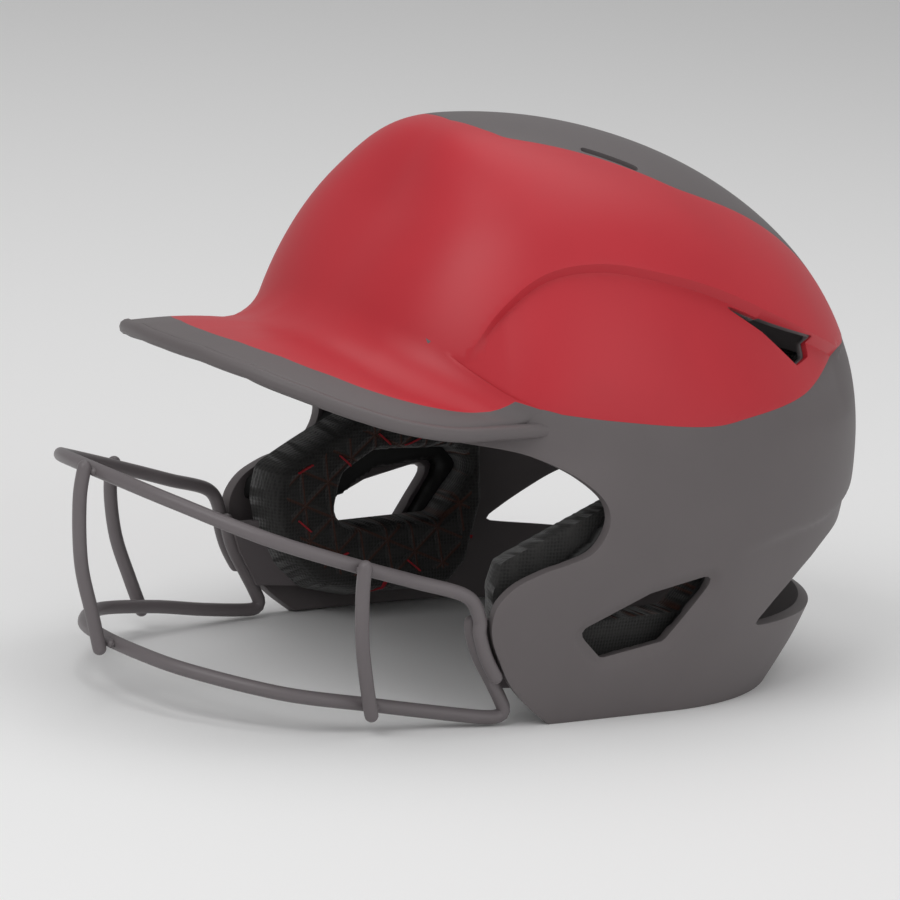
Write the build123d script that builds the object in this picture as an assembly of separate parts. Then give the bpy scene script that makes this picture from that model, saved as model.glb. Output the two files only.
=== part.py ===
from build123d import *
import math
import os

# Batting helmet with a wire face guard, in millimetres.  +Z is up, the wearer looks along -Y and +X is
# the wearer's left side.  The helmet stands on Z = 0 on the bottoms of its ear flaps; the origin is on
# that plane, under the middle of the helmet's outline.

# ---- shell --------------------------------------------------------------------------------------
HALF_WIDTH = 109.0        # at the equator, the widest level
FRONT_LENGTH = 126.0      # shell centre to forehead at the equator
REAR_LENGTH = 134.0       # shell centre to back at the equator
CROWN_HEIGHT = 227.0      # rest plane to crown
EQUATOR = 104.0           # equator height at the sides
EQUATOR_TILT = 16.0       # how much higher it is at the front, and lower at the back
CROWN_LEAN = 42.0         # how far the crown's top stands ahead of the shell centre
CHIN_GROWTH = 14.0        # extra front length at the bottom of the flaps
FRONT_POWER = 2.5         # squareness of the front half in plan, at the equator
FLAP_POWER = 5.0          # the same low down, where the flaps run almost straight forward
REAR_POWER = 2.08         # squareness of the rear half in plan
SIDE_POWER = 2.25         # fullness of the sides' profile
BROW_DROP = 1.0           # how much flatter the forehead's profile is
SIDE_TAPER = 0.13         # share lost from the equator down to the flaps' bottom
NAPE_TAPER = 0.14         # further share lost at the nape
WALL = 5.0                # moulded shell
COVER = 2.2               # crown cover
GAP = 0.3                 # bond line between moulded faces
SHELL_Y = 47.4            # shell centre from the origin; the brim and the guard stand ahead of it

# ---- brim ---------------------------------------------------------------------------------------
BRIM_Y = -104.0           # centre of the plan ellipse, from the shell centre
BRIM_HALF_WIDTH = 97.0
BRIM_REACH = 88.0
BRIM_HEIGHT = 138.0       # underside at the middle
BRIM_ARCH = [(0, 0), (25, -0.4), (48, -3), (68, -8.5), (83, -14.5), (97, -22), (112, -31)]
BRIM_WALL = 3.0
RIM_HEIGHT = 6.0
RIM_WIDTH = 4.6

# ---- liner --------------------------------------------------------------------------------------
EAR_FOAM = 7.0
COMFORT_FOAM = 10.0
LINER = 15.0
PAD_GAP = 0.3

# ---- face guard ---------------------------------------------------------------------------------
WIRE = 5.6
WELD_GAP = 0.04
TAB_WALL = 2.4
TAB_X = 85.2              # inner face of the bent tabs
SEAT_X = TAB_X + TAB_WALL + 0.02
SCREW_SPOTS = [(-71.0, 36.0), (-62.0, 20.0)]
SCREW_R = 2.4
HEAD_R = 4.4
HEAD_HEIGHT = 2.6
WASHER_R = 5.2
WASHER_WALL = 0.8
INSERT_R = 3.6
INSERT_LENGTH = 7.0

RINGS_UP = 8
RINGS_DOWN = 5
RING_POINTS = 28

os.makedirs("parts", exist_ok=True)


def smooth(t):
    t = min(max(t, 0.0), 1.0)
    return t * t * (3 - 2 * t)


def shell_point(azimuth, down, inset):
    """Shell surface: azimuth 0 is the front, down runs 0 crown, 1 equator, 2 rest plane."""
    c, s = math.cos(azimuth), abs(math.sin(azimuth))
    turn, below = min(down, 1.0), max(down - 1.0, 0.0)
    if c > 0:
        length = FRONT_LENGTH + CHIN_GROWTH * below
        power = FRONT_POWER + (FLAP_POWER - FRONT_POWER) * smooth(below / 0.6)
        taper = SIDE_TAPER - 0.02 * c * c
        fullness = SIDE_POWER - BROW_DROP * c * c * smooth(turn / 0.45)
    else:
        length, power, taper = REAR_LENGTH, REAR_POWER, SIDE_TAPER + NAPE_TAPER * c * c
        fullness = SIDE_POWER
    reach = ((s / (HALF_WIDTH - inset)) ** power + (abs(c) / (length - inset)) ** power) ** (-1 / power)
    equator = EQUATOR + EQUATOR_TILT * c
    share = math.sin(turn * math.pi / 2) ** (2 / fullness)
    if below:
        height = equator * (1 - below)
        reach *= 1 - taper * below ** 2
    else:
        rise = max(math.cos(turn * math.pi / 2), 0.0) ** (2 / fullness)
        height = equator + (CROWN_HEIGHT - inset - equator) * rise
    reach *= share
    lean = CROWN_LEAN * (1 - share ** 2)
    return (reach * math.sin(azimuth), -reach * c - lean, height)


def dome(inset):
    """Solid inside the shell surface moved in by inset, from the crown to the rest plane."""
    downs = [(i + 1) / RINGS_UP for i in range(RINGS_UP)]
    downs += [1 + (i + 1) / RINGS_DOWN for i in range(RINGS_DOWN)]
    turns = [2 * math.pi * i / RING_POINTS for i in range(RING_POINTS)]
    rings = [Wire([Spline(*[shell_point(a, d, inset) for a in turns], periodic=True)]) for d in downs]
    return Solid.make_loft([Vertex(*shell_point(0, 0, inset)), *rings])


def side_prism(shape, x0=-160.0, x1=160.0):
    """Prism along X of an outline or face given in side view as (y, z)."""
    face = shape if isinstance(shape, Sketch) else make_face(shape)
    return extrude(Plane.YZ.offset(x0) * face, x1 - x0, dir=(1, 0, 0))


def outline(points, radius=0.0):
    """Closed polygon, its corners rounded when a radius is given."""
    face = make_face(Polyline(*points, close=True))
    return fillet(face.vertices(), radius) if radius else face


def curved(points, corners):
    """A spline through points, closed by straight runs through corners."""
    return Spline(*points) + Polyline(points[-1], *corners, points[0])


def place(shape, name):
    """Move a finished piece from the shell's centre to the row frame and write it."""
    solids = shape.solids()
    shape = solids[0] if len(solids) == 1 else Compound(solids)
    shape.label = name
    export_step(shape.moved(Location((0, SHELL_Y, 0))), f"parts/{name}.step")
    box = shape.bounding_box()
    print(f"{name:26s} {len(solids)} {shape.volume / 1000:8.1f} cm3  y {box.min.Y:.1f} {box.max.Y:.1f}",
          f"x {box.min.X:.1f} {box.max.X:.1f}  z {box.min.Z:.1f} {box.max.Z:.1f}", flush=True)


def layer(region, near, far):
    """The part of a region that lies between two depths below the shell surface."""
    return (dome(near) & region) - dome(far)


# ---- openings, as side-view outlines ------------------------------------------------------------
flap_edge = [(-93.4, 44), (-92.6, 38), (-88.4, 29.4), (-81.6, 18.6), (-71.3, 8.5), (-58, -2)]
notch = [(-260, 116), (-121, 114), (-101.5, 112.8), (-85.8, 111.2), (-74.4, 108), (-60.6, 101.5), (-49, 92),
         (-46.5, 82), (-52.5, 72), (-64.7, 67.4), (-73.3, 65.1), (-85, 60), (-92, 53)]
face_opening = side_prism(Spline(*notch) + Polyline(notch[-1], flap_edge[0]) + Spline(*flap_edge)
                          + Polyline(flap_edge[-1], (-58, -20), (-260, -20), notch[0]))
ear_outline = [(-53.5, 38.3), (-39.7, 26.1), (-9.8, 31.0), (12.1, 58.8), (-20.5, 52.2)]
ear_hole = side_prism(outline(ear_outline, 3.5))
flap_arch = side_prism(curved([(-4, -1), (14, 2.4), (32, 3.6), (50, 2.4), (66, -1)], [(66, -9), (-4, -9)]))
tail_port = side_prism(curved([(150, 30), (95, 30), (70, 31), (46, 32), (40, 33.5), (46, 38.5), (58, 46.5),
                               (73.4, 55.5), (95, 64), (150, 72)], [(190, 72), (190, 30)]))
side_vent = side_prism(outline([(9.3, 168.8), (66, 148.8), (66.4, 141.8), (54.9, 139.4), (34, 155)], 1.5))
crown_vents = [extrude(Plane.XY.offset(150) * (Pos(s * 43, -14) * Rot(0, 0, -s * 25) * SlotOverall(34, 7)), 90)
               for s in (-1, 1)]
openings = [face_opening, ear_hole, tail_port, side_vent, *crown_vents]


# ---- brim: a front-view arch drawn along Y, trimmed by the plan ellipse ---------------------------
def brim_slab(low, high):
    arch = [(-x, z) for x, z in BRIM_ARCH[:0:-1]] + BRIM_ARCH
    under = Spline(*[(x, BRIM_HEIGHT + z + low) for x, z in arch])
    over = Spline(*[(x, BRIM_HEIGHT + z + high) for x, z in arch])
    ends = Line(under @ 0, over @ 0) + Line(under @ 1, over @ 1)
    return extrude(make_face(Plane.XZ.offset(50) * (under + over + ends)), 160, dir=(0, -1, 0))


def brim_plan(inset):
    front = Pos(0, BRIM_Y) * Ellipse(BRIM_HALF_WIDTH - inset, BRIM_REACH - inset)
    back = Pos(0, BRIM_Y + 20) * Rectangle(2 * (BRIM_HALF_WIDTH - inset), 40)
    return extrude(front + back, 260)


brim = brim_slab(0, BRIM_WALL) & brim_plan(0)
rim = (brim_slab(0, RIM_HEIGHT) & brim_plan(0)) - brim_plan(RIM_WIDTH)


# ---- crown cover: the outer skin above the colour line, and the brim's top ------------------------
def cover_region(grow, floor):
    line = [(-260, 116), (-121, 124), (-107, 126), (-81.7, 127.2), (-47, 123.9), (-4.1, 120), (20.1, 122.4),
            (58.5, 128.1), (90, 139), (150, 160)]
    above = side_prism(curved([(y, z - grow) for y, z in line], [(150, 300), (-260, 300)]))
    edge = [(0, -62), (22, -58), (34, -49), (54.6, -6), (60, 20), (53.2, 69.5), (44, 104), (40, 150)]
    edge = [(max(x - grow, 0), y + grow * (y < -48)) for x, y in edge]
    half = make_face(Spline(*edge) + Polyline(edge[-1], (0, 150), edge[0]))
    spine = extrude(half + mirror(half, about=Plane.YZ), 300)
    return above - [spine, brim_slab(-60, BRIM_WALL + floor)]


domes = {depth: dome(depth) for depth in (0, COVER, COVER + GAP, WALL)}
cover_top = brim_slab(BRIM_WALL + GAP, BRIM_WALL + GAP + COVER) & brim_plan(RIM_WIDTH + GAP)
crown_cover = (domes[0] & cover_region(0, GAP + 0.8)) + cover_top - domes[COVER]
for hole in (side_vent, *crown_vents):
    crown_cover = crown_cover - hole

# ---- base shell, with a flat seat inside each flap for the guard ----------------------------------
seat_side = [(-56, 10), (-76, 12), (-90, 34), (-90, 46), (-56, 46)]
seats = [side_prism(outline(seat_side), *span) & domes[0] for span in ((SEAT_X, 120), (-120, -SEAT_X))]
solid = domes[0] - (cover_region(GAP, -0.5) - domes[COVER + GAP])
solid = solid + brim + rim - domes[WALL]
spots = [(side, y, z) for side in (-1, 1) for y, z in SCREW_SPOTS]


def along_x(side, y, z, near, length, radius):
    """A cylinder across the flap, from X = near outwards."""
    return Pos(side * (near + length / 2), y, z) * Rot(0, 90, 0) * Cylinder(radius, length)


insert_holes = [along_x(*spot, SEAT_X - 1, INSERT_LENGTH + 1.2, INSERT_R) for spot in spots]
base_shell = solid + seats - [*openings, flap_arch, *insert_holes]
place(base_shell, "base_shell")
place(crown_cover, "crown_cover")


# ---- liner: foam layers inside the shell ----------------------------------------------------------
def both(name, shape):
    """A part of the wearer's left side and its mirror image."""
    place(shape, "left_" + name)
    place(mirror(shape, about=Plane.YZ), "right_" + name)


inner = WALL + PAD_GAP
ear_region = side_prism(outline([(-84, 48), (-53, 48), (-53, 12), (24, 12), (34, 40), (30, 92), (-38, 92), (-48, 75),
                                 (-66, 63), (-82, 57.5)], 3), 20)
ear_window = side_prism(outline([(-51, 38), (-39, 22), (-8, 27), (16.5, 60), (-20, 57)], 3.5))
ear_base = layer(ear_region, inner, inner + EAR_FOAM) - ear_window
both("ear_base_foam", ear_base)
pad_ring = side_prism(outline([(-74, 50.5), (-47, 50.5), (-47, 18), (22, 18), (29, 42), (25, 86), (-33, 86), (-43, 72),
                               (-60, 61), (-73, 57.5)], 2.5), 20)
pad_window = side_prism(outline([(-48, 37), (-36, 18), (-6, 22), (21, 60), (-20, 62)], 3.5))
depth = inner + EAR_FOAM + PAD_GAP
both("ear_comfort_pad", layer(pad_ring, depth, depth + COMFORT_FOAM) - pad_window)
both("side_pad", layer(side_prism(outline([(-52, 106), (-46, 150), (40, 140), (40, 98), (-30, 98)], 8), 30),
                       inner, inner + LINER) - side_prism(outline([(-6, 168), (60, 146), (60, 130), (20, 138)])))
brow = extrude(Plane.XZ.offset(60) * RectangleRounded(120, 34, 8).moved(Pos(0, 137)), 120, dir=(0, -1, 0))
place(layer(brow, inner, inner + LINER), "forehead_pad")
nape = extrude(Plane.XZ.offset(-60) * RectangleRounded(116, 44, 10).moved(Pos(0, 102)), 120, dir=(0, 1, 0))
place(layer(nape, inner, inner + LINER), "rear_pad")
place(layer(extrude(Pos(0, -26, 120) * Ellipse(32, 54), 120), inner, inner + LINER), "crown_pad")

# ---- face guard -----------------------------------------------------------------------------------
touch = WIRE + WELD_GAP
leg = [(-97.2, 46), (-96.6, 40), (-92.6, 30), (-85.8, 19.5)]
near_x, far_x = SEAT_X + WIRE / 2 + touch - 0.8, SEAT_X + WIRE / 2 - 0.8
top_half = [(near_x, *p) for p in leg[::-1]] + [(near_x - 0.6, -104, 55.5), (90.3, -126, 62), (88.2, -149, 68.6),
                                               (75, -186, 79.5), (42, -209.5, 88.5)]
low_half = [(far_x, *p) for p in leg] + [(far_x, -80.6, 11.4), (far_x, -78.2, 6.6), (far_x - 0.4, -80.2, 3.7)]


def bent_path(points):
    """Straight runs joined by the largest tangent arcs that fit."""
    points = [Vector(*p) for p in points]
    radii = []
    for a, b, c in zip(points, points[1:], points[2:]):
        half_turn = math.radians((b - a).get_angle(c - b)) / 2
        radii.append(0.45 * min((b - a).length, (c - b).length) / math.tan(half_turn))
    return FilletPolyline(*points, radius=radii)


def wire(points, radius=WIRE / 2):
    path = bent_path(points)
    return sweep(Plane(origin=path @ 0, z_dir=path % 0) * Circle(radius), path=path)


def mirrored(points):
    return [(-x, y, z) for x, y, z in points] + points[::-1]


low_half += [(far_x - 1.2, -88, 3.8), (84.2, -110, 7.0), (80.5, -136.5, 11.2), (70, -171, 15.5), (40, -195.5, 19.5),
             (14, -203.4, 21)]
top_bar, low_bar = wire(mirrored(top_half + [(14, -216.4, 91.5)])), wire(mirrored(low_half))
place(top_bar, "guard_top_bar")
place(low_bar, "guard_bottom_bar")


def crossing_wire(top, low, bow, stub, name, bars):
    """An upright outside two bars: pushed out, measured against each bar, then drawn in to touch."""
    (top_at, top_out), (low_at, low_out) = top, low
    reach = [touch + 1.0, touch + 1.0]
    for _ in range(12):
        high = Vector(*top_at) + Vector(*top_out).normalized() * reach[0]
        foot = Vector(*low_at) + Vector(*low_out).normalized() * reach[1]
        out = (Vector(*top_out) + Vector(*low_out)).normalized()
        middle = (high + foot) * 0.5 + out * bow
        upper, lower = (high + middle) * 0.5 + out * bow * 0.3, (foot + middle) * 0.5 + out * bow * 0.3
        up, down = (high - upper).normalized() * stub, (foot - lower).normalized() * stub
        upright = wire([high + up, upper, middle, lower, foot + down])
        gaps = [upright.distance_to(bar) for bar in bars]
        if min(gaps) > 0 and max(gaps) < 2 * WELD_GAP:
            break
        reach = [r - g + WELD_GAP if g > 0 else r + 0.2 for r, g in zip(reach, gaps)]
    place(upright, name)


bars = (top_bar, low_bar)
crossing_wire(((0, -216.4, 91.5), (0, -1, 0)), ((0, -203.4, 21), (0, -1, 0)), 9.0, 4.0, "guard_centre_upright", bars)
for side, word in ((1, "left"), (-1, "right")):
    crossing_wire(((side * 88.2, -149, 68.6), (side * 0.94, -0.33, 0)),
                  ((side * 80.5, -136.5, 11.2), (side * 0.97, -0.23, 0)), 3.0, 5.0, f"guard_{word}_upright", bars)

plate = outline([(-96.4, 43), (-96, 40), (-92, 30), (-85.4, 19.8), (-82.6, 15), (-57, 13), (-57, 43)])
plate = side_prism(plate, TAB_X, TAB_X + TAB_WALL)
groove = wire(low_half[:6], WIRE / 2 + WELD_GAP)
holes = [along_x(1, y, z, TAB_X - 1, TAB_WALL + 2, SCREW_R + 0.3) for y, z in SCREW_SPOTS]
both("guard_tab", plate - [groove, *holes])
head_x = TAB_X - WASHER_WALL - 0.02
shank = INSERT_LENGTH - 1
screws, washers, inserts = [], [], []
for y, z in SCREW_SPOTS:
    head = along_x(1, y, z, head_x - HEAD_HEIGHT, HEAD_HEIGHT, HEAD_R)
    socket = Pos(head_x - HEAD_HEIGHT, y, z) * Rot(0, 90, 0) * extrude(RegularPolygon(1.6, 6), 3.2, both=True)
    screws.append(fillet(head.edges().group_by(Axis.X)[0], 1.0) + along_x(1, y, z, head_x, SEAT_X - head_x + shank,
                                                                        SCREW_R) - socket)
    washers.append(along_x(1, y, z, head_x + 0.01, WASHER_WALL, WASHER_R)
                   - along_x(1, y, z, head_x - 1, 4, SCREW_R + 0.3))
    inserts.append(along_x(1, y, z, SEAT_X, INSERT_LENGTH, INSERT_R - 0.03)
                   - along_x(1, y, z, SEAT_X - 1, shank + 1.5, SCREW_R + 0.02))
both("guard_screws", Compound(screws))
both("guard_washers", Compound(washers))
both("guard_inserts", Compound(inserts))
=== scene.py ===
import bmesh
import bpy
import math
import numpy as np
from mathutils import Matrix, Vector, bvhtree
from mathutils.geometry import delaunay_2d_cdt


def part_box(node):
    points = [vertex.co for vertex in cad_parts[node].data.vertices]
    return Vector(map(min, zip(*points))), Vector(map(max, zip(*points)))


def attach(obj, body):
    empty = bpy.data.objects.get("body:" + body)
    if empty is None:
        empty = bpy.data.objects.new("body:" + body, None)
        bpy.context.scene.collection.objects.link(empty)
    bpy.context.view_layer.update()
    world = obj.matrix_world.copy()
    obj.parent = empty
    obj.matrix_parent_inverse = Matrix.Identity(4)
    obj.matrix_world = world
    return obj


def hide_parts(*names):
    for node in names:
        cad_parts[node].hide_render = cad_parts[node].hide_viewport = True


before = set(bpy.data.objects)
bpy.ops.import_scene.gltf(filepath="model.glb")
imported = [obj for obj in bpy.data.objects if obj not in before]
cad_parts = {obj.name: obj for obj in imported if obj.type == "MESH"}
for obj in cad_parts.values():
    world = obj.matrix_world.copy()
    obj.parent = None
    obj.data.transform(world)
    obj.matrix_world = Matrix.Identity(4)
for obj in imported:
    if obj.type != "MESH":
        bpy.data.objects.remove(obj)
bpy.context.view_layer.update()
mm = 0.001

# The shell's form, in millimetres about its own centre. The front is -Y.
# rho runs from 0 at the crown through 0.6 at the equator to 1 at the rest plane.
shellForm = dict(halfWidth=109.0, front=126.0, rear=134.0, crown=227.0, equator=104.0, tilt=16.0,
                 lean=42.0, chin=14.0, frontPower=2.5, flapPower=5.0, rearPower=2.08, sidePower=2.25,
                 browDrop=1.0, taper=0.13, nape=0.14, wall=4.6, cover=2.2, bond=0.25, edgeRound=1.1,
                 coverRound=0.7)
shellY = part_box("base_shell")[1].y / mm - shellForm["rear"]  # the shell's centre in the row
gridStep = dict(fine=0.0095, coarse=0.014)


def ease(t):
    t = np.clip(t, 0, 1)
    return t * t * (3 - 2 * t)


def shellPoint(phi, rho, inset=0.0):
    f = shellForm
    c, s = np.cos(phi), np.abs(np.sin(phi))
    below = np.clip((rho - 0.6) / 0.4, 0, None)
    turn = np.clip(rho / 0.6, 0, 1)
    length = np.where(c > 0, f["front"] + f["chin"] * below, f["rear"]) - inset
    frontPower = f["frontPower"] + (f["flapPower"] - f["frontPower"]) * ease(below / 0.6)
    power = np.where(c > 0, frontPower, f["rearPower"])
    reach = ((s / (f["halfWidth"] - inset)) ** power + (np.abs(c) / length) ** power) ** (-1 / power)
    equator = f["equator"] + f["tilt"] * c
    fullness = f["sidePower"] - f["browDrop"] * np.where(c > 0, c * c, 0) * ease(turn / 0.45)
    share = np.sin(turn * np.pi / 2) ** (2 / fullness)
    taper = np.where(c < 0, f["taper"] + f["nape"] * c * c, f["taper"] - 0.02 * c * c)
    height = np.where(rho > 0.6, equator * (1 - below),
                      equator + (f["crown"] - inset - equator) * np.cos(turn * np.pi / 2) ** (2 / fullness))
    reach = reach * np.where(rho > 0.6, 1 - taper * below ** 2, share)
    lean = f["lean"] * (1 - np.where(rho > 0.6, 1, share) ** 2)
    return np.stack([reach * np.sin(phi), -reach * c - lean, height], -1)


def flatToShell(pq, inset=0.0):
    rho = np.hypot(pq[:, 0], pq[:, 1])
    return shellPoint(np.arctan2(pq[:, 0], -pq[:, 1]), rho, inset)


def shellNormal(pq):
    d = 0.002
    safe = np.where(np.hypot(pq[:, 0], pq[:, 1])[:, None] < 0.004, pq + [0.004, 0.0], pq)
    across = flatToShell(safe + [d, 0]) - flatToShell(safe - [d, 0])
    along = flatToShell(safe + [0, d]) - flatToShell(safe - [0, d])
    n = np.cross(across, along)
    return n / np.linalg.norm(n, axis=1)[:, None]


seekPhi, seekRho = [a.ravel() for a in np.meshgrid(np.linspace(0, np.pi, 241), np.linspace(0, 1, 161))]
seekPoint = shellPoint(seekPhi, seekRho)


def locate(points, axes=(1, 2), allowed=None, turns=6, reach=1.2):
    # where side-view (y, z), plan (x, y) or front-view (x, z) points lie on the left half of the shell
    ok = np.ones(len(seekPhi), bool) if allowed is None else allowed(seekPoint)
    pool, phis, rhos, found = seekPoint[ok][:, axes], seekPhi[ok], seekRho[ok], []
    for target in points:
        i = int(np.argmin(((pool - target) ** 2).sum(1)))
        v = np.array([phis[i], rhos[i]])
        for _ in range(turns):
            here = shellPoint(v[:1], v[1:])[0][list(axes)]
            jac = np.stack([(shellPoint(v[:1] + 1e-4, v[1:])[0][list(axes)] - here) / 1e-4,
                            (shellPoint(v[:1], v[1:] + 1e-4)[0][list(axes)] - here) / 1e-4], 1)
            if abs(np.linalg.det(jac)) < 1.0:
                break
            v = v + np.clip(np.linalg.solve(jac, np.array(target) - here), -0.05, 0.05)
            v = np.array([np.clip(v[0], 0, np.pi), np.clip(v[1], 0.001, 1)])
        miss = np.linalg.norm(shellPoint(v[:1], v[1:])[0][list(axes)] - target)
        found.append((v[1] * math.sin(v[0]), -v[1] * math.cos(v[0])) if miss < reach else None)
    return found


def smoothRun(points, step=2.2):  # an evenly stepped curve through a few control points
    pts = np.array(points, float)
    ext = np.vstack([2 * pts[0] - pts[1], pts, 2 * pts[-1] - pts[-2]])
    dense = []
    for a, b, c, d in zip(ext[:-3], ext[1:-2], ext[2:-1], ext[3:]):
        t = np.linspace(0, 1, 24, endpoint=False)[:, None]
        square, cube = (2 * a - 5 * b + 4 * c - d) * t ** 2, (3 * b - a - 3 * c + d) * t ** 3
        dense.append(0.5 * (2 * b + (c - a) * t + square + cube))
    return evenly(np.vstack(dense + [pts[-1:]]), step)


def evenly(dense, step):
    run = np.r_[0, np.cumsum(np.linalg.norm(np.diff(dense, axis=0), axis=1))]
    at = np.linspace(0, run[-1], max(int(round(run[-1] / step)), 2) + 1)
    return np.stack([np.interp(at, run, dense[:, k]) for k in range(dense.shape[1])], 1)


def roundedLoop(corners, radius, step=2.0):
    pts = [np.array(p, float) for p in corners]
    dense = []
    for i, p in enumerate(pts):
        a, b = pts[i - 1] - p, pts[(i + 1) % len(pts)] - p
        la, lb = np.linalg.norm(a), np.linalg.norm(b)
        cut = min(radius / math.tan(math.acos(np.clip(a @ b / la / lb, -1, 1)) / 2), la * 0.45, lb * 0.45)
        t = np.linspace(0, 1, 9)[:, None]
        dense.append((1 - t) ** 2 * (p + a / la * cut) + 2 * t * (1 - t) * p + t ** 2 * (p + b / lb * cut))
    dense = np.vstack(dense + [dense[0][:1]])
    return evenly(dense, step)


def inside(points, loop):  # which points a closed loop holds
    x, y = points[:, 0], points[:, 1]
    hit = np.zeros(len(points), bool)
    for (x0, y0), (x1, y1) in zip(loop, np.roll(loop, -1, 0)):
        if y0 != y1:
            hit ^= ((y0 > y) != (y1 > y)) & (x < (x1 - x0) * (y - y0) / (y1 - y0) + x0)
    return hit


def lineDistance(points, line):
    best = np.full(len(points), 1e9)
    for a, b in zip(line[:-1], line[1:]):
        ab = b - a
        t = np.clip(((points - a) @ ab) / max(ab @ ab, 1e-9), 0, 1)
        best = np.minimum(best, np.linalg.norm(points - a - t[:, None] * ab, axis=1))
    return best


def flatRuns(found):  # splits located points into unbroken runs
    runs, run = [], []
    for p in found + [None]:
        if p is None:
            if len(run) > 1:
                runs.append(np.array(run))
            run = []
        else:
            run.append(p)
    return runs


def flatMesh(runs, step, keep):  # triangles of the half disc, their edges following every run, kept by a test
    rows = []
    for j, q in enumerate(np.arange(-1, 1, step * 0.866)):
        p = np.arange(step * (0.5 if j % 2 else 1.0), 1, step)
        rows.append(np.stack([p, np.full(len(p), q)], 1))
    dots = np.vstack(rows)
    dots = dots[np.hypot(dots[:, 0], dots[:, 1]) < 1 - step * 0.5]
    rim = np.linspace(0, np.pi, int(np.pi / step))
    axis = np.linspace(-1, 1, int(2 / step))
    outline = np.stack([np.sin(rim), -np.cos(rim)], 1)
    edges, lines = [], [outline, np.stack([np.zeros(len(axis)), axis], 1), *runs]
    clear = np.ones(len(dots), bool)
    for r in lines[2:]:
        lo, hi = r.min(0) - step, r.max(0) + step
        near = ((dots > lo) & (dots < hi)).all(1)
        idx = np.nonzero(near)[0]
        clear[idx[lineDistance(dots[idx], r) < step * 0.45]] = False
    points, count = [dots[clear]], int(clear.sum())
    for r in lines:
        points.append(r)
        edges += [(count + i, count + i + 1) for i in range(len(r) - 1)]
        count += len(r)
    points = np.vstack(points)
    out = delaunay_2d_cdt([Vector(p) for p in points], edges, [], 0, 1e-6)
    flat = np.array([tuple(v) for v in out[0]])
    tris = np.array([f for f in out[2] if len(f) == 3])
    middle = flat[tris].mean(1)
    tris = tris[keep(middle)]
    used, inverse = np.unique(tris, return_inverse=True)
    return flat[used], inverse.reshape(tris.shape)


def makeObject(name, points, faces, material, mirrored=True, marks=None):  # marks holds each face's slot
    points = np.asarray(points, float)
    faces = [list(map(int, f)) for f in faces]
    if mirrored:
        n = len(points)
        points = np.vstack([points, points * [-1, 1, 1]])
        faces = faces + [[i + n for i in f[::-1]] for f in faces]
        marks = None if marks is None else [*marks, *marks]
    mesh = bpy.data.meshes.new(name)
    mesh.from_pydata([tuple(v) for v in (points + [0, shellY, 0]) * mm], [], faces)
    obj = bpy.data.objects.new(name, mesh)
    bpy.context.scene.collection.objects.link(obj)
    for one in material if isinstance(material, tuple) else (material,):
        mesh.materials.append(one)
    if marks is not None:
        mesh.polygons.foreach_set("material_index", [int(v) for v in marks])
    weld(obj, 2e-5)
    for p in mesh.polygons:
        p.use_smooth = True
    return obj


def weld(obj, reach):
    bm = bmesh.new()
    bm.from_mesh(obj.data)
    bmesh.ops.remove_doubles(bm, verts=bm.verts, dist=reach)
    bm.to_mesh(obj.data)
    bm.free()


def finishShell(obj, thickness, edge):
    wall = obj.modifiers.new("wall", "SOLIDIFY")
    wall.thickness, wall.offset, wall.use_even_offset = thickness * mm, -1, False
    if edge:
        rim = obj.modifiers.new("rim", "BEVEL")
        rim.width, rim.segments, rim.use_clamp_overlap = edge * mm, 3, True
        rim.limit_method, rim.angle_limit = "ANGLE", math.radians(50)
    return obj


def applyAll(obj):
    shown = obj.evaluated_get(bpy.context.evaluated_depsgraph_get())
    mesh = bpy.data.meshes.new_from_object(shown)
    obj.modifiers.clear()
    obj.data = mesh
    return obj


def mergeInto(first, *others):
    parts = [first, *others]
    with bpy.context.temp_override(active_object=first, selected_editable_objects=parts, selected_objects=parts):
        bpy.ops.object.join()
    return first


# materials
finishes = dict(
    greyShell=dict(colour=(0.128, 0.113, 0.115), rough=0.5, grain=2600, grainDepth=0.05, mottle=0.10),
    redCover=dict(colour=(0.50, 0.022, 0.034), rough=0.42, grain=2200, grainDepth=0.03, mottle=0.08),
    guardCoat=dict(colour=(0.15, 0.133, 0.138), rough=0.4, grain=1500, grainDepth=0.06, mottle=0.10),
    baseFoam=dict(colour=(0.013, 0.013, 0.013), rough=0.62, grain=1800, grainDepth=0.12, mottle=0.25),
    redThread=dict(colour=(0.42, 0.02, 0.03), rough=0.7, grain=4000, grainDepth=0.1, mottle=0.2))


def nodeSet(name):
    material = bpy.data.materials.new(name)
    material.use_nodes = True
    tree = material.node_tree
    return material, tree, tree.nodes["Principled BSDF"]


def link(tree, a, b):
    tree.links.new(a, b)


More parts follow.
